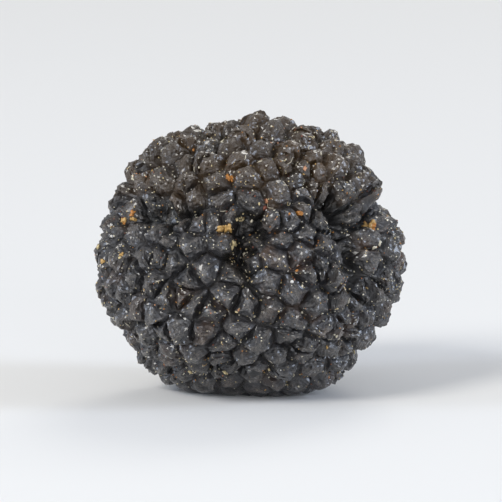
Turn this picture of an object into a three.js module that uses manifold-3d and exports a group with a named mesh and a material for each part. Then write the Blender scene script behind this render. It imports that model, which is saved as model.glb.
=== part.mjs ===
// A whole black summer truffle, about 30 mm across. Millimetres, +Z up.
// It is one solid: a lumpy body, covered all over by low pyramid warts with mostly five to seven
// sides, that meet in cracks. It stands on a small flat spot.
// The origin is on the flat spot, under the middle of the body. -Y is the front.

import * as THREE from "three";
import { ConvexHull } from "three/addons/math/ConvexHull.js";
import { mergeVertices } from "three/addons/utils/BufferGeometryUtils.js";
import Module from "manifold-3d";

// Driving dimensions.
const width = 29.4; // along X, over the warts
const depth = 28.1; // along Y, over the warts, before the folds cut in
const height = 26.8; // along Z, from the flat spot to the highest wart
const middleHeight = 13.0; // the middle of the body above the flat spot

// The warts.
const wartPlaces = 430; // places spread evenly over the body
const missingShare = 0.1; // share of places where no wart grew, and its neighbours are larger
const wander = 1.1; // how far a wart strays from its even place, in spacings from side to side
const growthSteps = 8; // times that neighbours push each other apart
const growthPush = 0.28; // how hard they push, in spacings
const growthReach = 1.6; // how far they push, in spacings
const vigourSpread = 1.5; // how much harder the most vigorous wart pushes than the least
const crackDepth = 0.42; // below the body's own surface
const wartRise = 0.4; // a wart's height above the body, as a share of its radius
const riseSpread = 0.6; // how much that height differs from wart to wart
const leanShare = 0.22; // how far a wart's tip strays from its middle, as a share of its radius
const wornShare = 0.8; // how much lower the warts, and shallower the cracks, are at the flat spot
const wornFrom = 0.82; // how far down the wear begins, and is full, from the middle (0) to the spot (1)
const wornFull = 0.95;
const shoulderReach = 0.76; // where the steep edge at the crack ends, from tip (0) to crack (1)
const shoulderRise = 0.24; // height there, as a share of the wart's height
const browReach = 0.36; // where the flank ends and the blunt top begins
const browRise = 0.88;
const topLowest = 0.8; // the tip's own height, as a share of the wart's height, and how much it differs
const topSpread = 0.35;
const chipDepth = 0.09; // how unevenly the corners of a wart are worn

// The rounded masses that grew together into the body. Each centre is measured from the middle of the
// body in half widths, half depths and half heights, and each radius in mean radii of the body.
const masses = [
  { name: "crown", at: [0.06, -0.04, 0.37], radius: 0.545 },
  { name: "upper left", at: [-0.32, 0.03, 0.31], radius: 0.529 },
  { name: "upper right", at: [0.31, 0.01, 0.32], radius: 0.522 },
  { name: "upper front", at: [-0.04, -0.33, 0.22], radius: 0.558 },
  { name: "upper back", at: [0.03, 0.34, 0.24], radius: 0.565 },
  { name: "left", at: [-0.4, -0.06, -0.07], radius: 0.583 },
  { name: "right", at: [0.39, -0.02, -0.08], radius: 0.583 },
  { name: "front", at: [0.12, -0.38, -0.13], radius: 0.569 },
  { name: "front left", at: [-0.27, -0.32, -0.16], radius: 0.551 },
  { name: "back", at: [-0.11, 0.38, -0.09], radius: 0.579 },
  { name: "back right", at: [0.27, 0.32, -0.18], radius: 0.551 },
  { name: "underside left", at: [-0.18, 0.06, -0.346], radius: 0.629 },
  { name: "underside right", at: [0.16, -0.04, -0.335], radius: 0.629 },
];
const massSoftness = 0.55; // how softly two masses meet, mm

// Single knobs on the body: the way they face, and their height and half-width in mm.
const knobs = [
  { name: "crown knob", facing: [0.09, -0.12, 1], rise: 0.7, reach: 2.2 },
  { name: "left shoulder", facing: [-0.93, -0.24, 0.34], rise: 0.9, reach: 2.6 },
  { name: "right shoulder", facing: [0.88, -0.2, 0.5], rise: 0.9, reach: 1.7 },
  { name: "right lobe", facing: [1, -0.2, 0.22], rise: 0.8, reach: 2.3 },
  { name: "front knob", facing: [0.36, -1, 0.16], rise: 0.9, reach: 2.6 },
  { name: "low front knob", facing: [-0.5, -0.9, -0.45], rise: 0.7, reach: 2.4 },
  { name: "back knob", facing: [-0.7, 0.9, 0.5], rise: 1.0, reach: 2.8 },
  { name: "low back knob", facing: [0.5, 1, -0.25], rise: 0.6, reach: 2.6 },
];

// Folds between parts of the body: the way their two ends face, and depth and half-width in mm.
const folds = [
  { name: "front fold", from: [-0.9, -0.45, 0.42], to: [0.1, -1, 0.34], deep: 1.5, reach: 1.6 },
  { name: "middle fold", from: [0.02, -1, 0.56], to: [-0.1, -1, 0.12], deep: 1.8, reach: 1.5 },
  { name: "right front fold", from: [0.7, -0.62, 0.46], to: [0.8, -0.62, -0.1], deep: 1.7, reach: 1.5 },
  { name: "right fold", from: [0.95, -0.45, 0.34], to: [0.9, 0.25, 0.4], deep: 1.0, reach: 1.1 },
  { name: "low front fold", from: [-0.1, -1, 0.12], to: [0.3, -0.8, -0.55], deep: 1.1, reach: 1.4 },
  { name: "back fold", from: [0.15, 0.6, 0.85], to: [0.2, 1, -0.1], deep: 1.8, reach: 1.7 },
  { name: "low back fold", from: [0.2, 1, -0.1], to: [-0.55, 0.8, -0.4], deep: 1.3, reach: 1.5 },
  { name: "left fold", from: [-1, 0.3, 0.3], to: [-0.6, 0.6, -0.7], deep: 1.5, reach: 1.6 },
];

// One number for each thing that chance settles.
const draw = {
  strayX: 1, strayY: 2, strayZ: 3, missing: 4, rise: 5,
  leanX: 6, leanY: 7, leanZ: 8, chip: 9, top: 10, vigour: 11,
};
const scatter = { index: 12.9898, draw: 78.233, stretch: 43758.5453 }; // uneven, so no pattern shows
const drawsPerWart = 10; // draws of chip kept for one wart, at least as many as its sides

const goldenAngle = Math.PI * (3 - Math.sqrt(5));
const wartSpacing = Math.sqrt((4 * Math.PI) / wartPlaces); // between neighbours, as an angle
const halfSize = new THREE.Vector3(width / 2, depth / 2, height / 2);
const meanRadius = (halfSize.x + halfSize.y + halfSize.z) / 3;

// A number from 0 to 1 that looks random but is always the same for the same two whole numbers.
function chance(index, kind) {
  const wave = Math.sin(index * scatter.index + kind * scatter.draw) * scatter.stretch;
  return wave - Math.floor(wave);
}

// A short vector that looks random, with each part from -0.5 to 0.5.
function chanceVector(index, kindX, kindY, kindZ) {
  return new THREE.Vector3(chance(index, kindX), chance(index, kindY), chance(index, kindZ)).subScalar(0.5);
}

function facing(parts) {
  return new THREE.Vector3(...parts).normalize();
}

// Distance from the middle of the body to its surface, before warts, along a direction.
function bodyRadius(direction) {
  let blended = 0;
  for (const mass of masses) {
    const centre = new THREE.Vector3(...mass.at).multiply(halfSize);
    const along = direction.dot(centre);
    const exit = along + Math.sqrt((mass.radius * meanRadius) ** 2 - centre.lengthSq() + along ** 2);
    blended += Math.exp((exit - meanRadius) / massSoftness);
  }
  let radius = meanRadius + massSoftness * Math.log(blended);
  for (const knob of knobs) {
    const away = meanRadius * direction.angleTo(facing(knob.facing));
    radius += knob.rise * Math.exp(-((away / knob.reach) ** 2));
  }
  for (const fold of folds) {
    const away = meanRadius * angleToArc(direction, facing(fold.from), facing(fold.to));
    radius -= fold.deep * Math.exp(-((away / fold.reach) ** 2));
  }
  return radius;
}

// The share of the relief that is left, from 1 on most of the body down to the worn flat spot.
function reliefLeft(direction) {
  return 1 - wornShare * THREE.MathUtils.smoothstep(-direction.z, wornFrom, wornFull);
}

// The angle between a direction and the nearest point of the arc between two others.
function angleToArc(direction, from, to) {
  const pole = from.clone().cross(to).normalize();
  const inPlane = direction.clone().addScaledVector(pole, -direction.dot(pole)).normalize();
  const span = from.angleTo(to);
  const within = inPlane.angleTo(from) <= span && inPlane.angleTo(to) <= span;
  if (within) return direction.angleTo(inPlane);
  return Math.min(direction.angleTo(from), direction.angleTo(to));
}

// The way each wart faces: places on a spiral over the ball, each one moved, then pushed apart.
function wartDirections() {
  let directions = [];
  for (let place = 0; place < wartPlaces; place += 1) {
    if (chance(place, draw.missing) < missingShare) continue;
    const up = 1 - (2 * place + 1) / wartPlaces;
    const out = Math.sqrt(1 - up * up);
    const turn = place * goldenAngle;
    const direction = new THREE.Vector3(out * Math.cos(turn), out * Math.sin(turn), up);
    const stray = chanceVector(place, draw.strayX, draw.strayY, draw.strayZ);
    stray.multiplyScalar(wander * wartSpacing);
    directions.push(direction.add(stray).normalize());
  }
  for (let step = 0; step < growthSteps; step += 1) directions = pushedApart(directions);
  return directions;
}

function pushedApart(directions) {
  const limit = growthReach * wartSpacing;
  return directions.map((direction) => {
    const push = new THREE.Vector3();
    directions.forEach((other, wart) => {
      const gap = direction.distanceTo(other);
      if (gap === 0 || gap >= limit) return;
      const vigour = 1 + vigourSpread * (chance(wart, draw.vigour) - 0.5);
      push.addScaledVector(direction.clone().sub(other), (vigour * (1 - gap / limit)) / gap);
    });
    return direction.clone().addScaledVector(push, growthPush * wartSpacing).normalize();
  });
}

// The corners of each wart's outline, in order round it. Three warts share a corner.
function wartOutlines(directions) {
  const hull = new ConvexHull().setFromPoints(directions);
  const corners = hull.faces.map((face) => face.normal.clone());
  const cornersOf = new Map(directions.map((direction) => [direction, []]));
  hull.faces.forEach((face, corner) => {
    for (let side = 0; side < 3; side += 1) cornersOf.get(face.getEdge(side).head().point).push(corner);
  });
  const outlines = directions.map((direction) => {
    const east = new THREE.Vector3(-direction.y, direction.x, 0).normalize();
    const north = direction.clone().cross(east);
    const bearing = (corner) => Math.atan2(corners[corner].dot(north), corners[corner].dot(east));
    return cornersOf.get(direction).sort((a, b) => bearing(a) - bearing(b));
  });
  return { corners, outlines };
}

// The warty skin as one closed surface round the middle of the body.
function skinGeometry() {
  const directions = wartDirections();
  const { corners, outlines } = wartOutlines(directions);
  const crackAt = (corner) => bodyRadius(corner) - crackDepth * reliefLeft(corner);
  const points = corners.map((corner) => corner.clone().multiplyScalar(crackAt(corner)));
  const triangles = [];
  const addPoint = (direction, lift) => {
    points.push(direction.clone().multiplyScalar(bodyRadius(direction) + lift));
    return points.length - 1;
  };
  outlines.forEach((outline, wart) => {
    const middle = directions[wart];
    const reachOf = (corner) => meanRadius * middle.angleTo(corners[corner]);
    const radius = outline.reduce((sum, corner) => sum + reachOf(corner), 0) / outline.length;
    const rise = reliefLeft(middle) * wartRise * radius * (1 + riseSpread * (chance(wart, draw.rise) - 0.5));
    const lean = chanceVector(wart, draw.leanX, draw.leanY, draw.leanZ);
    const tip = middle.clone().addScaledVector(lean, (2 * leanShare * radius) / meanRadius).normalize();
    const ring = (reach, share) =>
      outline.map((corner, side) => {
        const chip = chipDepth * (chance(wart * drawsPerWart + side, draw.chip) - 0.5) * 2;
        return addPoint(tip.clone().lerp(corners[corner], reach).normalize(), rise * share + chip);
      });
    const shoulder = ring(shoulderReach, shoulderRise);
    const brow = ring(browReach, browRise);
    const top = addPoint(tip, rise * (topLowest + topSpread * chance(wart, draw.top)));
    outline.forEach((corner, side) => {
      const next = (side + 1) % outline.length;
      triangles.push(corner, outline[next], shoulder[next], corner, shoulder[next], shoulder[side]);
      triangles.push(shoulder[side], shoulder[next], brow[next], shoulder[side], brow[next], brow[side]);
      triangles.push(brow[side], brow[next], top);
    });
  });
  const geometry = new THREE.BufferGeometry().setFromPoints(points);
  geometry.setIndex(triangles);
  return geometry;
}

// A closed geometry as a manifold-3d solid.
function solidOf(wasm, geometry) {
  const bare = geometry.clone();
  bare.deleteAttribute("normal");
  bare.deleteAttribute("uv");
  const merged = mergeVertices(bare);
  return new wasm.Manifold(
    new wasm.Mesh({
      numProp: 3,
      vertProperties: new Float32Array(merged.attributes.position.array),
      triVerts: new Uint32Array(merged.index.array),
    }),
  );
}

// A manifold-3d solid as a geometry.
function geometryOf(solid) {
  const mesh = solid.getMesh();
  const geometry = new THREE.BufferGeometry();
  geometry.setAttribute("position", new THREE.BufferAttribute(mesh.vertProperties, 3));
  geometry.setIndex(new THREE.BufferAttribute(mesh.triVerts, 1));
  geometry.computeVertexNormals();
  return geometry;
}

// The skin cut level at the flat spot.
async function truffleGeometry() {
  const wasm = await Module();
  wasm.setup();
  const skin = skinGeometry();
  skin.translate(0, 0, middleHeight);
  const floor = new THREE.BoxGeometry(2 * width, 2 * depth, height);
  floor.translate(0, 0, -height / 2);
  return geometryOf(solidOf(wasm, skin).subtract(solidOf(wasm, floor)));
}

const rind = new THREE.MeshStandardMaterial({ color: 0x241f1d, roughness: 0.6, metalness: 0 });

const truffle = new THREE.Mesh(await truffleGeometry(), rind);
truffle.name = "truffle";

const group = new THREE.Group();
group.add(truffle);

export default group;
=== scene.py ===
import math

import bpy
import numpy as np
from mathutils import Matrix, Vector, noise


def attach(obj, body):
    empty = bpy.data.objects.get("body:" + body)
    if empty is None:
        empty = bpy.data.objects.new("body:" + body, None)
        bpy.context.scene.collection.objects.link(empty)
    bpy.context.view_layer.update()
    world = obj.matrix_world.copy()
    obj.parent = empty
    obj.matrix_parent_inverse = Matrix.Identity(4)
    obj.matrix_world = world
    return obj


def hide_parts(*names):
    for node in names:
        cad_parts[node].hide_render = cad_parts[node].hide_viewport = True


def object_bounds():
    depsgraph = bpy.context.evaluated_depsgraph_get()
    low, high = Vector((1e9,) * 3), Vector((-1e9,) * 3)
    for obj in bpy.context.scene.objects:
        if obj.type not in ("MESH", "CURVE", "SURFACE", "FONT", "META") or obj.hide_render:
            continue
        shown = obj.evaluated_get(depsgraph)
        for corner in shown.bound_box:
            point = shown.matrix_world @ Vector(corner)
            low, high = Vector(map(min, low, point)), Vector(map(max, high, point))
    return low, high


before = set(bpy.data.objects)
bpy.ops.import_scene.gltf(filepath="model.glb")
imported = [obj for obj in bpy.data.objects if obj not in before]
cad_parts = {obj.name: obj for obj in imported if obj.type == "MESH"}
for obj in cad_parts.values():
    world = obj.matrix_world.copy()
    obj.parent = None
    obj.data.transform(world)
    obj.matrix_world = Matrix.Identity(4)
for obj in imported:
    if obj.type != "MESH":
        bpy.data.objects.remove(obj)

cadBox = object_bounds()
mm = 0.001


def newPiece(name, mesh):  # it alone is selected and active, ready for the operators
    piece = bpy.data.objects.new(name, mesh)
    bpy.context.scene.collection.objects.link(piece)
    bpy.ops.object.select_all(action="DESELECT")
    piece.select_set(True)
    bpy.context.view_layer.objects.active = piece
    return piece


def chance(index, draw):  # 0 to 1, always the same for the same two whole numbers
    wave = np.sin(np.asarray(index) * 12.9898 + draw * 78.233) * 43758.5453
    return wave - np.floor(wave)


def between(limits, share):
    return limits[0] + (limits[1] - limits[0]) * share


def smoothstep(value, low, high):
    share = np.clip((value - low) / (high - low), 0, 1)
    return share * share * (3 - 2 * share)


def unit(vectors):
    return vectors / np.linalg.norm(vectors, axis=-1, keepdims=True)


def lumps(points, size, seed):  # soft lumps from -1 to 1, about size mm from one to the next
    shift = Vector((seed * 17.3, seed * 5.7, seed * 11.1))
    return np.array([noise.noise(Vector(point) / size + shift) for point in points])


def spotsOf(mesh):
    spots = np.empty(len(mesh.vertices) * 3)
    mesh.vertices.foreach_get("co", spots)
    return spots.reshape(-1, 3)


def endsOf(mesh):
    ends = np.empty(len(mesh.edges) * 2, int)
    mesh.edges.foreach_get("vertices", ends)
    return ends.reshape(-1, 2)


def keepOnMesh(mesh, name, values):  # one value for each vertex, for the materials to read
    kept = mesh.attributes.new(name, "FLOAT", "POINT")
    kept.data.foreach_set("value", np.asarray(values, np.float32))


wartRule = {  # the warts grew by this rule in the solid too
    "places": 430,  # spread evenly over the body
    "missing": 0.1,  # share of them where no wart grew
    "wander": 1.1,  # how far a wart strays from its even place, in spacings
    "growthSteps": 8,
    "growthPush": 0.28, "growthReach": 1.6,  # how neighbours push each other apart, in spacings
    "vigourSpread": 1.5,  # how unevenly they push
    "lean": 0.22,  # how far a tip strays from its wart's middle
    "middle": (0.0, 0.0, 13.0),  # of the body, mm
}


def wartDirections(rule):
    spacing = math.sqrt(4 * math.pi / rule["places"])
    place = np.arange(rule["places"])
    place = place[chance(place, 4) >= rule["missing"]]
    up = 1 - (2 * place + 1) / rule["places"]
    out = np.sqrt(1 - up * up)
    turn = place * math.pi * (3 - math.sqrt(5))
    even = np.stack([out * np.cos(turn), out * np.sin(turn), up], axis=1)
    stray = np.stack([chance(place, 1), chance(place, 2), chance(place, 3)], axis=1) - 0.5
    directions = unit(even + stray * rule["wander"] * spacing)
    vigour = 1 + rule["vigourSpread"] * (chance(np.arange(len(directions)), 11) - 0.5)
    limit = rule["growthReach"] * spacing
    for _ in range(rule["growthSteps"]):
        apart = directions[:, None] - directions[None]
        gap = np.linalg.norm(apart, axis=2)
        near = (gap > 0) & (gap < limit)
        pull = np.where(near, vigour[None] * (1 - gap / limit) / np.where(near, gap, 1), 0)
        push = (apart * pull[:, :, None]).sum(axis=1)
        directions = unit(directions + push * rule["growthPush"] * spacing)
    return directions


def tipsAndNeighbours(directions, rule):
    ball = newPiece("wart_ball", bpy.data.meshes.new("wart_ball"))
    ball.data.from_pydata([Vector(direction) for direction in directions], [], [])
    bpy.ops.object.mode_set(mode="EDIT")
    bpy.ops.mesh.select_all(action="SELECT")
    bpy.ops.mesh.convex_hull(join_triangles=False)
    bpy.ops.object.mode_set(mode="OBJECT")
    # three warts meet at each face of the ball, and its normal points at the corner they share
    corners = [[] for _ in directions]
    neighbours = [set() for _ in directions]
    for face in ball.data.polygons:
        for wart in face.vertices:
            corners[wart].append(np.array(face.normal))
            neighbours[wart].update(other for other in face.vertices if other != wart)
    bpy.data.objects.remove(ball)
    tips = []
    for wart, middle in enumerate(directions):
        angles = np.arccos(np.clip(np.array(corners[wart]) @ middle, -1, 1))
        lean = np.array([chance(wart, draw) for draw in (6, 7, 8)]) - 0.5
        tips.append(unit(middle + lean * 2 * rule["lean"] * angles.mean()))
    return np.array(tips), [sorted(found) for found in neighbours]


def placeOnWarts(points, rule):  # where on which wart each point of the rind lies
    directions = wartDirections(rule)
    tips, neighbours = tipsAndNeighbours(directions, rule)
    away = np.linalg.norm(points, axis=1)
    ways = points / away[:, None]
    wart = np.concatenate([  # in parts, because all at once would take much memory
        np.argmax(part @ directions.T, axis=1) for part in np.array_split(ways, 20)
    ])
    names = ("reach", "crackGap", "ridgeGap", "side", "along")
    place = {name: np.zeros(len(points)) for name in names}
    place["wart"] = wart
    place["tip"] = tips[wart]
    for one in np.unique(wart):
        mine = np.nonzero(wart == one)[0]
        outward = unit(directions[neighbours[one]] - directions[one])  # across each crack round it
        gaps = -(ways[mine] @ outward.T)
        tipGaps = -(tips[one] @ outward.T)
        reaches = 1 - gaps / tipGaps
        order = np.argsort(-reaches, axis=1)
        row = np.arange(len(mine))
        first, second = order[:, 0], order[:, 1]
        spread = reaches[row, first] - reaches[row, second]
        sideways = unit(np.cross(outward[first], tips[one]))
        place["reach"][mine] = reaches[row, first]  # 0 at the tip, 1 at the crack
        place["crackGap"][mine] = gaps.min(axis=1) * away[mine]  # mm to the nearest crack
        place["ridgeGap"][mine] = spread * tipGaps[first] * away[mine]  # mm to the nearest ridge
        place["side"][mine] = one * 8 + first  # which face of which wart
        place["along"][mine] = (points[mine] * sideways).sum(axis=1)  # mm across that face
    return place


rindRelief = {  # mm, and shares of the warts
    "longestEdge": 0.4, "softening": 2,
    "crackDeep": 0.24, "crackWide": 0.12,
    "raggedMean": 0.6, "ragged": 0.8, "raggedEvery": 1.6,  # how the depth of the cracks varies
    "hollowDeep": 0.1, "peakRise": 0.16,
    "flank": (0.12, 0.4),  # away from the crack and from the tip, where the relief of a face sets in
    "faceShift": 0.12,  # from one face of a wart to another
    "ridgeRise": 0.1, "ridgeWide": 0.16,
    "ledgeRise": 0.04, "ledgeEvery": 0.36,
    "ledgeWaver": 0.5, "ledgeWaverEvery": 0.9,
    "furrowDeep": 0.15, "furrowEvery": 0.4,
    "furrowTaper": 0.35,  # width of a furrow at the tip, as a share of that at the crack
    "furrowStray": 0.5,  # how much a furrow changes on its way from tip to crack
    "dentDeep": 0.34, "dentSpread": (0.4, 1), "dentedShare": 0.4, "dentReach": (0.05, 0.4),
    "cleftDeep": 0.32, "cleftWide": 0.14, "cleftShare": 0.22, "cleftReach": (0.5, 0.95),
    "lumpRise": 0.1, "lumpEvery": 1.7,
    "knobRise": 0.1, "knobEvery": 0.7,
    "grainRise": 0.055, "grainEvery": 0.33,
    "wallRise": 0.26, "wallEvery": 0.75,  # more of it on the steep walls of folds and cracks
    "wallFacing": (0.25, 0.7),  # all wall up to the first, and none from the second
    "normalRounds": 3,  # evening out of the directions that the relief rises in
    "nearRounds": 30, "farRounds": 400,  # evening out over about 1.5 and 6 mm
    "foldDeep": 0.7,  # how much deeper the folds of the body are cut
    "foldHollow": (0.25, 1.0),  # how far below the body around it a fold starts, and is cut in full
    "worn": (0.03, 1.1),  # heights over which the relief fades out towards the flat spot
}


def cutLongEdges(mesh, longest):  # all of them once, and then those that are still too long
    bpy.context.tool_settings.mesh_select_mode = (False, True, False)
    tooLong = np.ones(len(mesh.edges), bool)
    while tooLong.any():
        mesh.vertices.foreach_set("select", np.zeros(len(mesh.vertices), bool))
        mesh.polygons.foreach_set("select", np.zeros(len(mesh.polygons), bool))
        mesh.edges.foreach_set("select", tooLong)
        bpy.ops.object.mode_set(mode="EDIT")
        bpy.ops.mesh.subdivide(number_cuts=1)
        bpy.ops.mesh.select_all(action="SELECT")
        bpy.ops.mesh.quads_convert_to_tris(quad_method="SHORTEST_DIAGONAL")
        bpy.ops.object.mode_set(mode="OBJECT")
        spots, ends = spotsOf(mesh), endsOf(mesh)
        tooLong = np.linalg.norm(spots[ends[:, 0]] - spots[ends[:, 1]], axis=1) > longest


def fineCopy(node, sizes):
    rind = newPiece("truffle_rind", node.data.copy())
    bpy.ops.object.mode_set(mode="EDIT")
    bpy.ops.mesh.select_all(action="SELECT")
    bpy.ops.mesh.remove_doubles(threshold=0.001 * mm)  # the solid's triangles are loose
    bpy.ops.object.mode_set(mode="OBJECT")
    cutLongEdges(rind.data, sizes["longestEdge"] * mm)
    bpy.ops.object.mode_set(mode="EDIT")
    bpy.ops.mesh.select_all(action="SELECT")
    bpy.ops.mesh.vertices_smooth(factor=0.5, repeat=sizes["softening"])
    bpy.ops.object.mode_set(mode="OBJECT")
    return rind


def evened(mesh, values, rounds):  # each round draws a value to the mean of those next to it
    ends = endsOf(mesh)
    count = len(values)
    near = 1 + np.bincount(ends.ravel(), minlength=count)
    for _ in range(rounds):
        fromFirst = np.bincount(ends[:, 1], values[ends[:, 0]], count)
        fromSecond = np.bincount(ends[:, 0], values[ends[:, 1]], count)
        values = (values + fromFirst + fromSecond) / near
    return values


def normalsOf(mesh):
    return np.array([corner.vector for corner in mesh.vertex_normals])


def softNormals(mesh, rounds):
    return unit(np.stack([evened(mesh, axis, rounds) for axis in normalsOf(mesh).T], axis=1))


def sculptedHeights(points, place, sizes):
    wart, reach, gap = place["wart"], place["reach"], place["crackGap"]
    flank = smoothstep(gap, *sizes["flank"]) * smoothstep(reach, *sizes["flank"])
    onRidge = np.exp(-((place["ridgeGap"] / sizes["ridgeWide"]) ** 2))
    shape = sizes["peakRise"] * (1 - reach) ** 2 - sizes["hollowDeep"] * np.sin(math.pi * reach)
    faces = sizes["faceShift"] * (chance(place["side"], 28) - 0.5) * flank * (1 - onRidge)
    ridges = sizes["ridgeRise"] * onRidge * flank
    waver = sizes["ledgeWaver"] * lumps(points, sizes["ledgeWaverEvery"], 5)
    turns = gap / sizes["ledgeEvery"] + waver + chance(wart, 23)
    ledges = sizes["ledgeRise"] * np.sin(2 * math.pi * turns) * flank
    # each face has furrows of its own, long from tip to crack and narrow at the tip
    across = place["along"] / between((sizes["furrowTaper"], 1), reach)
    fan = np.stack([across, place["side"] * 7.3, reach * sizes["furrowStray"]], axis=1)
    furrows = sizes["furrowDeep"] * lumps(fan, sizes["furrowEvery"], 7) * flank
    dented = (chance(wart, 21) < sizes["dentedShare"]) * between(sizes["dentSpread"], chance(wart, 22))
    dents = -sizes["dentDeep"] * dented * (1 - smoothstep(reach, *sizes["dentReach"]))
    random = np.stack([chance(wart, draw) - 0.5 for draw in (25, 26, 27)], axis=1)
    fromCleft = (points * unit(np.cross(place["tip"], random))).sum(axis=1)
    cleft = (chance(wart, 24) < sizes["cleftShare"]) * (1 - smoothstep(reach, *sizes["cleftReach"]))
    clefts = -sizes["cleftDeep"] * cleft * np.exp(-((fromCleft / sizes["cleftWide"]) ** 2))
    rough = sizes["lumpRise"] * lumps(points, sizes["lumpEvery"], 11)
    rough += sizes["knobRise"] * lumps(points, sizes["knobEvery"], 13)
    rough += sizes["grainRise"] * lumps(points, sizes["grainEvery"], 15)
    return shape + faces + ridges + ledges + furrows + dents + clefts + rough


def moveSpots(mesh, moves):  # by mm, but never below the floor
    moved = spotsOf(mesh) / mm + moves
    moved[:, 2] = np.maximum(moved[:, 2], 0)
    mesh.vertices.foreach_set("co", (moved * mm).ravel())
    mesh.update()


def roughenWalls(mesh, points, left, sizes):
    normals = normalsOf(mesh)
    facing = (normals * unit(points)).sum(axis=1)  # 1 where the rind faces straight out, 0 on a wall
    wall = 1 - smoothstep(facing, *sizes["wallFacing"])
    rise = sizes["wallRise"] * wall * lumps(points, sizes["wallEvery"], 33)
    moveSpots(mesh, normals * rise[:, None] * left)


def sculptRind(mesh, rule, sizes):
    spots = spotsOf(mesh) / mm
    points = spots - np.array(rule["middle"])
    place = placeOnWarts(points, rule)
    left = smoothstep(spots[:, 2], *sizes["worn"])[:, None]  # of the relief, near the flat spot
    level = evened(mesh, np.linalg.norm(points, axis=1), sizes["nearRounds"])
    place["hollow"] = evened(mesh, level, sizes["farRounds"]) - level  # mm below the body around it
    fold = sizes["foldDeep"] * smoothstep(place["hollow"], *sizes["foldHollow"])
    lift = softNormals(mesh, sizes["normalRounds"]) * sculptedHeights(points, place, sizes)[:, None]
    ragged = sizes["raggedMean"] + sizes["ragged"] * lumps(points, sizes["raggedEvery"], 3)
    sink = sizes["crackDeep"] * ragged * np.exp(-((place["crackGap"] / sizes["crackWide"]) ** 2))
    moveSpots(mesh, (lift - unit(points) * (sink + fold)[:, None]) * left)
    roughenWalls(mesh, points, left, sizes)
    return place


def makeRind():
    rind = fineCopy(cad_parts["truffle"], rindRelief)
    place = sculptRind(rind.data, wartRule, rindRelief)
    place["tone"] = chance(place["wart"], 31)
    for name in ("reach", "crackGap", "ridgeGap", "tone", "hollow"):
        keepOnMesh(rind.data, name, place[name])
    bpy.ops.object.shade_smooth()
    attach(rind, "root")
    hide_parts("truffle")
    print("rind:", len(rind.data.polygons), "faces")
    return rind


crumbs = {  # bits of pale flesh and grit that stick to the wet rind
    "tries": 7400, "radius": (0.055, 0.12),  # mm
    "bigTries": 130, "bigRadius": (0.15, 0.27),
    "cover": 0.5,  # share of the tries that find a place
    "flakeFrom": 0.15, "morselFrom": 0.2,  # mm; crumbs from these radii up have more faces
    "clumpEvery": 3.2, "clumping": 0.9,  # mm from one thick patch of crumbs to the next
    "width": (0.5, 0.95), "height": 0.5,  # of a crumb, as shares of its length
    "lumpRise": 1.0, "lumpEvery": 0.75,  # how uneven a crumb is, in its own radius
    "nubRise": 0.45, "nubEvery": 0.34,
    "lift": 0.25,  # of its middle above the rind, in its own radius
    "lowest": 1.4,  # mm above the floor
    "tintSpread": 0.16, "drawsEach": 20,  # in and for a group of larger bits
    # larger bits that lie together: mm across and up, and which tint
    "frontClusters": (
        {"across": 11.0, "up": 16.3, "spread": 0.6, "count": 9, "radius": (0.18, 0.38), "tint": 0.77},
        {"across": 11.7, "up": 14.9, "spread": 0.5, "count": 3, "radius": (0.18, 0.26), "tint": 0.2},
        {"across": -11.4, "up": 17.2, "spread": 0.6, "count": 4, "radius": (0.2, 0.36), "tint": 0.72},
        {"across": -2.5, "up": 17.0, "spread": 0.5, "count": 3, "radius": (0.22, 0.38), "tint": 0.7},
        {"across": -1.0, "up": 17.6, "spread": 0.8, "count": 7, "radius": (0.1, 0.2), "tint": 0.55},
        {"across": -2.0, "up": 21.4, "spread": 0.35, "count": 3, "radius": (0.22, 0.36), "tint": 0.86},
        {"across": 1.9, "up": 19.2, "spread": 0.6, "count": 5, "radius": (0.12, 0.22), "tint": 0.92},
        {"across": 4.2, "up": 13.4, "spread": 1.1, "count": 8, "radius": (0.1, 0.18), "tint": 0.9},
        {"across": -1.6, "up": 15.2, "spread": 0.6, "count": 4, "radius": (0.16, 0.28), "tint": 0.6},
    ),
    "backClusters": (
        {"across": 6.0, "up": 18.5, "spread": 0.6, "count": 4, "radius": (0.18, 0.34), "tint": 0.72},
        {"across": -8.5, "up": 11.0, "spread": 0.7, "count": 5, "radius": (0.14, 0.26), "tint": 0.86},
        {"across": -3.0, "up": 21.0, "spread": 0.5, "count": 3, "radius": (0.2, 0.34), "tint": 0.78},
        {"across": 10.5, "up": 9.5, "spread": 0.7, "count": 4, "radius": (0.16, 0.28), "tint": 0.6},
    ),
}


def scatteredCrumbs(spots, sizes):  # rows of: which point of the rind, radius in mm, tint
    draws = np.arange(sizes["tries"] + sizes["bigTries"])
    at = (chance(draws, 41) * len(spots)).astype(int)
    thick = sizes["cover"] + sizes["clumping"] * lumps(spots[at] / mm, sizes["clumpEvery"], 17)
    radii = between(sizes["radius"], chance(draws, 42) ** 1.5)  # more small ones than large
    bigRadii = between(sizes["bigRadius"], chance(draws, 42) ** 2)
    radii = np.where(draws < sizes["tries"], radii, bigRadii)
    kept = (chance(draws, 47) < thick) & (spots[at][:, 2] > sizes["lowest"] * mm)
    return np.stack([at, radii, chance(draws, 46)], axis=1)[kept]


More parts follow.
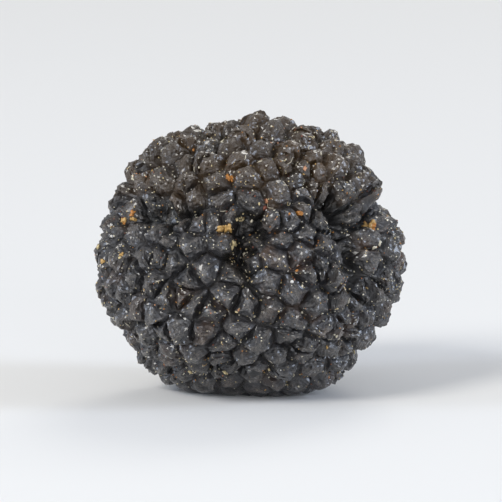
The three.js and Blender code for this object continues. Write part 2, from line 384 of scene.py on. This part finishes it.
def clusteredCrumbs(spots, sizes):
    rows = []
    for way, clusters in ((-1, sizes["frontClusters"]), (1, sizes["backClusters"])):
        half = np.nonzero(spots[:, 1] * way > 0)[0]
        for cluster in clusters:
            aim = np.array([cluster["across"], cluster["up"]]) * mm
            middle = half[np.argmin(np.linalg.norm(spots[half][:, [0, 2]] - aim, axis=1))]
            apart = np.linalg.norm(spots - spots[middle], axis=1)
            near = np.nonzero(apart < cluster["spread"] * mm)[0]
            draws = len(rows) * sizes["drawsEach"] + np.arange(cluster["count"])
            at = near[(chance(draws, 51) * len(near)).astype(int)]
            radii = between(cluster["radius"], chance(draws, 52))
            tints = cluster["tint"] + sizes["tintSpread"] * (chance(draws, 53) - 0.5)
            rows.append(np.stack([at, radii, tints], axis=1))
    return np.concatenate(rows)


def crumbPattern(rounds):
    bpy.ops.object.select_all(action="DESELECT")
    bpy.ops.mesh.primitive_ico_sphere_add(subdivisions=rounds, radius=1)
    return bpy.context.object


def unevenCopy(pattern, crumb, sizes):  # still round, with a radius of about 1
    mesh = pattern.data.copy()
    ways = spotsOf(mesh) + crumb * 3.1  # so that no two crumbs have the same lumps
    rough = sizes["lumpRise"] * lumps(ways, sizes["lumpEvery"], 19)
    rough += sizes["nubRise"] * lumps(ways, sizes["nubEvery"], 20)
    for corner, bulge in zip(mesh.vertices, rough):
        corner.co *= 1 + bulge
    return mesh


def makeCrumbs(rind, sizes):
    grit, flake, morsel = (crumbPattern(rounds) for rounds in (1, 2, 3))
    spots = spotsOf(rind.data)
    normals = [Vector(normal) for normal in normalsOf(rind.data)]
    rows = np.concatenate([scatteredCrumbs(spots, sizes), clusteredCrumbs(spots, sizes)])
    copies = []
    for crumb, (at, radius, tint) in enumerate(rows):
        pattern = grit if radius < sizes["flakeFrom"] else flake
        if radius > sizes["morselFrom"]:
            pattern = morsel
        mesh = unevenCopy(pattern, crumb, sizes)
        shape = Matrix.Diagonal((1, between(sizes["width"], chance(crumb, 44)), sizes["height"], 1))
        spin = Matrix.Rotation(2 * math.pi * chance(crumb, 45), 4, "Z")
        normal = normals[int(at)]
        stand = normal.to_track_quat("Z", "Y").to_matrix().to_4x4()
        middle = Vector(spots[int(at)]) + normal * radius * mm * sizes["lift"]
        mesh.transform(Matrix.Translation(middle) @ stand @ spin @ shape @ Matrix.Scale(radius * mm, 4))
        keepOnMesh(mesh, "tint", np.full(len(mesh.vertices), tint))
        copies.append(bpy.data.objects.new("crumb", mesh))
    for pattern in (grit, flake, morsel):
        bpy.data.objects.remove(pattern)
    bpy.ops.object.select_all(action="DESELECT")
    for copy in copies:
        bpy.context.scene.collection.objects.link(copy)
        copy.select_set(True)
    bpy.context.view_layer.objects.active = copies[0]
    bpy.ops.object.join()
    joined = bpy.context.object
    joined.name = "rind_crumbs"
    joined.data.name = "rind_crumbs"
    bpy.ops.object.shade_smooth()
    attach(joined, "root")
    print("crumbs:", len(copies), "with", len(joined.data.polygons), "faces")
    return joined


fibres = {  # thin curled shreds of pale flesh that lie on the rind
    "count": 84, "points": 10,
    "length": (0.4, 1.3), "thickness": (0.05, 0.1),  # mm
    "curl": (0.2, 2.6),  # radians from one end to the other
    "ends": 0.4,  # thickness at the two ends, as a share of the middle's
    "proud": 0.3,  # share of its thickness
    "closest": 0.02,  # mm between two points: below 0.017 they would be merged when it is made a mesh
    "fewest": 4,  # points that a shred needs
    "tint": (0.0, 0.7),
    "lowest": 1.4,  # mm above the floor
}


def fibreRoute(rind, start, fibre, sizes):  # points a little proud of the rind, in m
    stand = rind.closest_point_on_mesh(start)[2].to_track_quat("Z", "Y").to_matrix()
    steps = sizes["points"] - 1
    step = between(sizes["length"], chance(fibre, 62)) * mm / steps
    heading = 2 * math.pi * chance(fibre, 63)
    curl = between(sizes["curl"], chance(fibre, 64)) / steps
    proud = between(sizes["thickness"], chance(fibre, 65)) * sizes["proud"] * mm
    route = []
    for _ in range(sizes["points"]):
        on, normal = rind.closest_point_on_mesh(start)[1:3]
        spot = on + normal * proud
        if not route or (spot - route[-1]).length > sizes["closest"] * mm:
            route.append(spot)
        start = on + stand @ Vector((math.cos(heading), math.sin(heading), 0)) * step
        heading += curl
    return route


def makeFibres(rind, sizes):
    curve = bpy.data.curves.new("rind_fibres", "CURVE")
    curve.dimensions = "3D"
    curve.bevel_depth = mm / 2
    curve.bevel_resolution = 1
    ringCorners = 2 * (curve.bevel_resolution + 2)
    spots = spotsOf(rind.data)
    tints = []  # one for each corner of each ring
    for fibre in range(sizes["count"]):
        start = Vector(spots[int(chance(fibre, 61) * len(spots))])
        route = fibreRoute(rind, start, fibre, sizes)
        if start.z < sizes["lowest"] * mm or len(route) < sizes["fewest"]:
            continue
        thick = between(sizes["thickness"], chance(fibre, 65))
        spline = curve.splines.new("POLY")
        spline.points.add(len(route) - 1)
        for turn, (point, spot) in enumerate(zip(spline.points, route)):
            swell = math.sin(math.pi * turn / (len(route) - 1))
            point.co = (*spot, 1)
            point.radius = thick * between((sizes["ends"], 1), swell)
        tints += [between(sizes["tint"], chance(fibre, 66))] * ringCorners * len(route)
    newPiece("rind_fibres", curve)
    bpy.ops.object.convert(target="MESH")
    piece = bpy.context.object
    bpy.ops.object.mode_set(mode="EDIT")
    bpy.ops.mesh.select_all(action="SELECT")
    bpy.ops.mesh.fill_holes(sides=0)
    bpy.ops.mesh.normals_make_consistent(inside=False)
    bpy.ops.object.mode_set(mode="OBJECT")
    keepOnMesh(piece.data, "tint", tints)
    bpy.ops.object.shade_smooth()
    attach(piece, "root")
    print("fibres:", len(curve.splines), "with", len(piece.data.polygons), "faces")
    return piece


def colour(code):  # sRGB hex to linear
    parts = [int(code[at:at + 2], 16) / 255 for at in (1, 3, 5)]
    linear = [part / 12.92 if part <= 0.04045 else ((part + 0.055) / 1.055) ** 2.4 for part in parts]
    return (*linear, 1)


def addNode(tree, kind, inputs=None, stops=None, stepped=False, **settings):
    node = tree.nodes.new(kind)
    for name, value in settings.items():
        setattr(node, name, value)
    for name, value in (inputs or {}).items():
        if isinstance(value, bpy.types.NodeSocket):
            tree.links.new(value, node.inputs[name])
        else:
            node.inputs[name].default_value = value
    if stops:  # the colours of a ramp by their positions
        ramp = node.color_ramp
        ramp.interpolation = "CONSTANT" if stepped else "LINEAR"
        for step, (position, code) in enumerate(sorted(stops.items())):
            element = ramp.elements[step] if step < 2 else ramp.elements.new(position)
            element.position = position
            element.color = colour(code)
    return node


def perMm(size):  # texture scale that repeats about every size mm
    return 1 / (size * mm)


mixFactor, mixA, mixB, mixed = 0, 6, 7, 2  # sockets of a colour Mix node


def setFilm(shader, looks):  # it lies smooth over the fine grain, so the bump isn't given to it
    shader.inputs["IOR"].default_value = looks["ior"]
    shader.inputs["Coat Weight"].default_value = looks["film"]
    shader.inputs["Coat Roughness"].default_value = looks["filmRoughness"]
    shader.inputs["Coat IOR"].default_value = looks["filmIor"]


moistRind = {  # truffle rind soaked in brine: dull charcoal, with small cool glints where the film is
    "crack": "#1b1714", "flank": "#242325", "tip": "#343231",
    "scuff": "#69635d", "edgeWide": 0.3, "scuffGap": (0.15, 0.45),  # mm from a ridge, and from a crack
    "patchEvery": 2.6,  # mm
    "rust": "#3d2c20", "rustAt": (0.53, 0.74), "rustShare": 0.7,  # of the patches' noise
    "wornTop": "#6b543d", "wornShare": 0.1, "topReach": (0.1, 0.55),  # 0 at the tip, 1 at the crack
    "rubbedAt": (0.44, 0.62), "rubbedShare": 0.8,  # of the grain's noise
    "tone": (0.68, 1.5),  # how much darker or paler one wart is than another
    "foldHollow": (0.15, 0.6),  # mm below the body around it
    "foldShadeLeft": 0.15,  # what is left of the colour there under the painted shade
    # the crown's dark brown is partly the rind's own colour and partly painted shade that darkens the top
    "crown": "#31220e", "crownShadeShare": 0.95,
    "crownFrayed": 16.0,  # mm, times the patches' noise of about a half
    "crownHeight": (25.5, 30.5),  # mm, of which the fraying makes about 8
    "roughness": (0.32, 0.64), "grainRange": (0.35, 0.65), "ior": 1.42,
    "film": 1.0, "filmRoughness": 0.15, "filmIor": 1.38,  # brine
    "grainEvery": 0.14, "grainDeep": 0.05,  # mm
    "striationEvery": 0.19, "striationDeep": 0.016, "striationDrift": 30.0,  # mm, and radians in a patch
    "pitEvery": 0.42, "pitDeep": 0.07,  # mm
    "shake": 0.12, "shakeEvery": 0.3,  # mm, so that pits and specks aren't round
    "dustApart": 0.36, "dustRadius": 0.09,  # mm; real dust is finer, and would not show
    "dustless": 0.55,  # share of the cells that hold no speck
    "dustEdge": 0.05, "dustRise": 0.03,  # how soft its edge is, in cells, and mm
    "dust": {0.0: "#c8c1ac", 0.5: "#bbaa80", 0.74: "#a58148", 0.86: "#985a2b", 0.93: "#cfcdc5"},
}


def moistTruffleRind(looks):
    material = bpy.data.materials.new("moist_truffle_rind")
    material.use_nodes = True
    tree = material.node_tree
    shader = tree.nodes["Principled BSDF"]
    where = addNode(tree, "ShaderNodeTexCoord").outputs["Object"]
    reach, gap, ridge, tone, hollow = (
        addNode(tree, "ShaderNodeAttribute", attribute_name=name).outputs["Fac"]
        for name in ("reach", "crackGap", "ridgeGap", "tone", "hollow")
    )
    grain = addNode(tree, "ShaderNodeTexNoise", {
        "Vector": where, "Scale": perMm(looks["grainEvery"]), "Detail": 4.0, "Roughness": 0.6,
    }).outputs["Fac"]
    patches = addNode(tree, "ShaderNodeTexNoise", {
        "Vector": where, "Scale": perMm(looks["patchEvery"]), "Detail": 3.0,
    }).outputs["Fac"]

    # near black in the cracks, charcoal on the faces, browner at the tips, and a dark brown on the crown
    # that is partly its own colour and partly painted shade
    byReach = addNode(tree, "ShaderNodeValToRGB", {"Fac": reach}, stops={
        0.0: looks["tip"], 0.4: looks["flank"], 0.88: looks["flank"], 1.0: looks["crack"],
    }).outputs["Color"]
    start, end = looks["rustAt"]
    rusty = addNode(tree, "ShaderNodeMapRange", {
        "Value": patches, "From Min": start, "From Max": end, "To Max": looks["rustShare"],
    }).outputs["Result"]
    browned = addNode(tree, "ShaderNodeMix", {
        mixFactor: rusty, mixA: byReach, mixB: colour(looks["rust"]),
    }, data_type="RGBA").outputs[mixed]
    height = addNode(tree, "ShaderNodeSeparateXYZ", {"Vector": where}).outputs["Z"]
    frayed = addNode(tree, "ShaderNodeMath", {  # so that the crown's brown and painted shade end in an uneven line
        0: patches, 1: looks["crownFrayed"] * mm, 2: height,
    }, operation="MULTIPLY_ADD").outputs["Value"]
    # painted shade: the colour turns darker brown towards the top
    start, end = looks["crownHeight"]
    crownShaded = addNode(tree, "ShaderNodeMapRange", {
        "Value": frayed, "From Min": start * mm, "From Max": end * mm, "To Max": looks["crownShadeShare"],
    }).outputs["Result"]
    browned = addNode(tree, "ShaderNodeMix", {
        mixFactor: crownShaded, mixA: browned, mixB: colour(looks["crown"]),
    }, data_type="RGBA").outputs[mixed]

    # some warts are paler than others, the folds are painted nearly black as shade, and a few warts are
    # rubbed tan on top
    darkest, palest = looks["tone"]
    shade = addNode(tree, "ShaderNodeMapRange", {
        "Value": tone, "To Min": darkest, "To Max": palest,
    }).outputs["Result"]
    # painted shade: the colour is darkened where the rind lies below the body around it
    start, end = looks["foldHollow"]
    paintedFoldShade = addNode(tree, "ShaderNodeMapRange", {
        "Value": hollow, "From Min": start, "From Max": end, "To Min": 1.0, "To Max": looks["foldShadeLeft"],
    }).outputs["Result"]
    shade = addNode(tree, "ShaderNodeMath", {0: shade, 1: paintedFoldShade}, operation="MULTIPLY").outputs["Value"]
    varied = addNode(tree, "ShaderNodeVectorMath", {
        0: browned, 1: shade,
    }, operation="MULTIPLY").outputs["Vector"]
    old = addNode(tree, "ShaderNodeMath", {
        0: tone, 1: 1 - looks["wornShare"],
    }, operation="GREATER_THAN").outputs["Value"]
    start, end = looks["topReach"]
    onTop = addNode(tree, "ShaderNodeMapRange", {
        "Value": reach, "From Min": start, "From Max": end, "To Min": 1.0, "To Max": 0.0,
    }).outputs["Result"]
    start, end = looks["rubbedAt"]
    rubbed = addNode(tree, "ShaderNodeMapRange", {
        "Value": grain, "From Min": start, "From Max": end, "To Max": looks["rubbedShare"],
    }).outputs["Result"]
    oldTop = addNode(tree, "ShaderNodeMath", {0: onTop, 1: old}, operation="MULTIPLY").outputs["Value"]
    wornTop = addNode(tree, "ShaderNodeMath", {
        0: oldTop, 1: rubbed,
    }, operation="MULTIPLY").outputs["Value"]
    topped = addNode(tree, "ShaderNodeMix", {
        mixFactor: wornTop, mixA: varied, mixB: colour(looks["wornTop"]),
    }, data_type="RGBA").outputs[mixed]

    # the edges between a wart's faces are scuffed paler
    edge = addNode(tree, "ShaderNodeMapRange", {
        "Value": ridge, "From Max": looks["edgeWide"], "To Min": 1.0, "To Max": 0.0,
    }).outputs["Result"]
    start, end = looks["scuffGap"]
    onFace = addNode(tree, "ShaderNodeMapRange", {
        "Value": gap, "From Min": start, "From Max": end,
    }).outputs["Result"]
    rubbedEdge = addNode(tree, "ShaderNodeMath", {
        0: edge, 1: rubbed,
    }, operation="MULTIPLY").outputs["Value"]
    scuffed = addNode(tree, "ShaderNodeMath", {
        0: rubbedEdge, 1: onFace,
    }, operation="MULTIPLY").outputs["Value"]
    worn = addNode(tree, "ShaderNodeMix", {
        mixFactor: scuffed, mixA: topped, mixB: colour(looks["scuff"]),
    }, data_type="RGBA").outputs[mixed]

    # dust of pale flesh and grit, each speck with its own size and colour
    waver = addNode(tree, "ShaderNodeTexNoise", {
        "Vector": where, "Scale": perMm(looks["shakeEvery"]), "Detail": 1.0,
    }).outputs["Color"]
    shaken = addNode(tree, "ShaderNodeVectorMath", {
        0: waver, 1: (looks["shake"] * mm,) * 3, 2: where,
    }, operation="MULTIPLY_ADD").outputs["Vector"]
    cells = addNode(tree, "ShaderNodeTexVoronoi", {"Vector": shaken, "Scale": perMm(looks["dustApart"])})
    draws = addNode(tree, "ShaderNodeSeparateColor", {"Color": cells.outputs["Color"]})
    size = addNode(tree, "ShaderNodeMapRange", {
        "Value": draws.outputs["Red"], "From Min": looks["dustless"],
        "To Max": looks["dustRadius"] / looks["dustApart"],
    }).outputs["Result"]
    inside = addNode(tree, "ShaderNodeMath", {
        0: size, 1: cells.outputs["Distance"],
    }, operation="SUBTRACT").outputs["Value"]
    speck = addNode(tree, "ShaderNodeMapRange", {
        "Value": inside, "From Max": looks["dustEdge"],
    }).outputs["Result"]
    speckColour = addNode(tree, "ShaderNodeValToRGB", {
        "Fac": draws.outputs["Green"],
    }, stops=looks["dust"], stepped=True).outputs["Color"]
    coloured = addNode(tree, "ShaderNodeMix", {
        mixFactor: speck, mixA: worn, mixB: speckColour,
    }, data_type="RGBA").outputs[mixed]

    # fine grain, shallow pits, and striations that run level round each wart
    turns = addNode(tree, "ShaderNodeMath", {
        0: gap, 1: 2 * math.pi / looks["striationEvery"],
    }, operation="MULTIPLY").outputs["Value"]
    drift = addNode(tree, "ShaderNodeMath", {
        0: patches, 1: looks["striationDrift"], 2: turns,
    }, operation="MULTIPLY_ADD").outputs["Value"]
    wave = addNode(tree, "ShaderNodeMath", {0: drift}, operation="SINE").outputs["Value"]
    lines = addNode(tree, "ShaderNodeMath", {
        0: wave, 1: looks["striationDeep"],
    }, operation="MULTIPLY").outputs["Value"]
    rough = addNode(tree, "ShaderNodeMath", {
        0: grain, 1: looks["grainDeep"] * 2, 2: lines,
    }, operation="MULTIPLY_ADD").outputs["Value"]
    pits = addNode(tree, "ShaderNodeTexVoronoi", {
        "Vector": shaken, "Scale": perMm(looks["pitEvery"]),
    }, feature="SMOOTH_F1").outputs["Distance"]
    pitted = addNode(tree, "ShaderNodeMath", {
        0: pits, 1: looks["pitDeep"], 2: rough,
    }, operation="MULTIPLY_ADD").outputs["Value"]
    heights = addNode(tree, "ShaderNodeMath", {
        0: speck, 1: looks["dustRise"], 2: pitted,
    }, operation="MULTIPLY_ADD").outputs["Value"]
    bump = addNode(tree, "ShaderNodeBump", {"Height": heights, "Distance": mm, "Strength": 1.0})

    start, end = looks["grainRange"]
    smooth, dull = looks["roughness"]
    roughness = addNode(tree, "ShaderNodeMapRange", {
        "Value": grain, "From Min": start, "From Max": end, "To Min": smooth, "To Max": dull,
    })
    tree.links.new(coloured, shader.inputs["Base Color"])
    tree.links.new(roughness.outputs["Result"], shader.inputs["Roughness"])
    tree.links.new(bump.outputs["Normal"], shader.inputs["Normal"])
    setFilm(shader, looks)
    return material


wetPulp = {  # crumbs of truffle flesh: soft, cream and a little wet, some stained ochre or rust
    "tints": {
        0.0: "#dcd3bb", 0.42: "#cdba8c", 0.66: "#ba9456", 0.76: "#b67a3a", 0.84: "#c08a66", 0.89: "#7d4634",
        0.94: "#d9d7d0",
    },
    "shade": (0.55, 1.02), "grainRange": (0.3, 0.7),
    "roughness": 0.55, "ior": 1.4,
    "film": 0.4, "filmRoughness": 0.2, "filmIor": 1.38,
    "grainEvery": 0.09, "grainDeep": 0.03,  # mm
}


def wetTrufflePulp(looks):
    material = bpy.data.materials.new("wet_truffle_pulp")
    material.use_nodes = True
    tree = material.node_tree
    shader = tree.nodes["Principled BSDF"]
    where = addNode(tree, "ShaderNodeTexCoord").outputs["Object"]
    tint = addNode(tree, "ShaderNodeAttribute", attribute_name="tint").outputs["Fac"]
    plain = addNode(tree, "ShaderNodeValToRGB", {"Fac": tint}, stops=looks["tints"], stepped=True)
    grain = addNode(tree, "ShaderNodeTexNoise", {
        "Vector": where, "Scale": perMm(looks["grainEvery"]), "Detail": 3.0,
    }).outputs["Fac"]
    start, end = looks["grainRange"]
    darkest, palest = looks["shade"]
    shade = addNode(tree, "ShaderNodeMapRange", {
        "Value": grain, "From Min": start, "From Max": end, "To Min": darkest, "To Max": palest,
    })
    mottled = addNode(tree, "ShaderNodeVectorMath", {
        0: plain.outputs["Color"], 1: shade.outputs["Result"],
    }, operation="MULTIPLY")
    height = addNode(tree, "ShaderNodeMath", {0: grain, 1: looks["grainDeep"]}, operation="MULTIPLY")
    bump = addNode(tree, "ShaderNodeBump", {
        "Height": height.outputs["Value"], "Distance": mm, "Strength": 1.0,
    })
    tree.links.new(mottled.outputs["Vector"], shader.inputs["Base Color"])
    tree.links.new(bump.outputs["Normal"], shader.inputs["Normal"])
    shader.inputs["Roughness"].default_value = looks["roughness"]
    setFilm(shader, looks)
    return material


studio = {
    "floorWide": 8.0,  # m
    "paper": "#d9d8d6", "paperRoughness": 0.9,  # uncoated card: pale and dull, so shadows on it are soft
    "sky": "#f1f3f6", "skyStrength": 0.43,
    "softboxes": (  # W, m, and where each stands in m, aimed at the truffle
        {"name": "key", "power": 13.0, "size": (0.45, 0.45), "at": (-0.75, -0.85, 0.85), "tint": "#fffdf8"},
        {"name": "left", "power": 8.0, "size": (0.35, 0.8), "at": (-1.0, -0.25, 0.3), "tint": "#d3e0f6"},
        {"name": "right", "power": 9.0, "size": (0.3, 0.7), "at": (0.95, -0.15, 0.3), "tint": "#d3e0f6"},
        {"name": "front", "power": 5.0, "size": (0.9, 0.5), "at": (0.2, -1.15, 0.25), "tint": "#eff3fb"},
        {"name": "back", "power": 5.0, "size": (0.55, 0.55), "at": (0.3, 1.0, 0.9), "tint": "#fffdf8"},
    ),
}


def addSoftbox(box, target):
    lamp = bpy.data.lights.new(box["name"], "AREA")
    lamp.energy = box["power"]
    lamp.color = colour(box["tint"])[:3]
    lamp.shape = "RECTANGLE"
    lamp.size, lamp.size_y = box["size"]
    stand = bpy.data.objects.new(box["name"], lamp)
    bpy.context.scene.collection.objects.link(stand)
    stand.location = box["at"]
    stand.rotation_euler = (target - stand.location).to_track_quat("-Z", "Y").to_euler()
    stand.visible_camera = False


def mattePaper(sizes):
    paper = bpy.data.materials.new("matte_paper")
    paper.use_nodes = True
    shader = paper.node_tree.nodes["Principled BSDF"]
    shader.inputs["Base Color"].default_value = colour(sizes["paper"])
    shader.inputs["Roughness"].default_value = sizes["paperRoughness"]
    return paper


def setStudio(sizes, target):
    bpy.ops.object.select_all(action="DESELECT")
    bpy.ops.mesh.primitive_plane_add(size=sizes["floorWide"])
    floor = bpy.context.object
    floor.name = "floor"
    floor.data.materials.append(mattePaper(sizes))
    world = bpy.data.worlds.new("studio")
    world.use_nodes = True
    sky = world.node_tree.nodes["Background"]
    sky.inputs["Color"].default_value = colour(sizes["sky"])
    sky.inputs["Strength"].default_value = sizes["skyStrength"]
    bpy.context.scene.world = world
    bpy.context.scene.view_settings.view_transform = "Standard"
    for box in sizes["softboxes"]:
        addSoftbox(box, target)
    print("studio set")


camera = {
    "distance": 0.49, "nearest": 0.01,  # m, and the nearest that it still sees
    "elevation": 8.0,  # degrees
    "sensor": 36.0, "share": 0.62,  # mm, and the share of the view's width that the truffle takes
}


def setCamera(sizes, low, high):
    middle = (low + high) / 2
    tilt = math.radians(sizes["elevation"])
    back = Vector((0, -math.cos(tilt), math.sin(tilt)))
    eye = bpy.data.objects.new("camera", bpy.data.cameras.new("camera"))
    bpy.context.scene.collection.objects.link(eye)
    seenWidth = (high.x - low.x) / sizes["share"]
    eye.data.sensor_width = sizes["sensor"]
    eye.data.lens = sizes["sensor"] * sizes["distance"] / seenWidth
    eye.data.clip_start = sizes["nearest"]
    eye.location = middle + back * sizes["distance"]
    eye.rotation_euler = (-back).to_track_quat("-Z", "Y").to_euler()
    bpy.context.scene.camera = eye
    print("camera set, lens", round(eye.data.lens), "mm")
    return middle


target = setCamera(camera, *cadBox)
setStudio(studio, target)
rind = makeRind()
rind.data.materials.clear()
rind.data.materials.append(moistTruffleRind(moistRind))
pulp = wetTrufflePulp(wetPulp)
for piece in (makeCrumbs(rind, crumbs), makeFibres(rind, fibres)):
    piece.data.materials.clear()
    piece.data.materials.append(pulp)
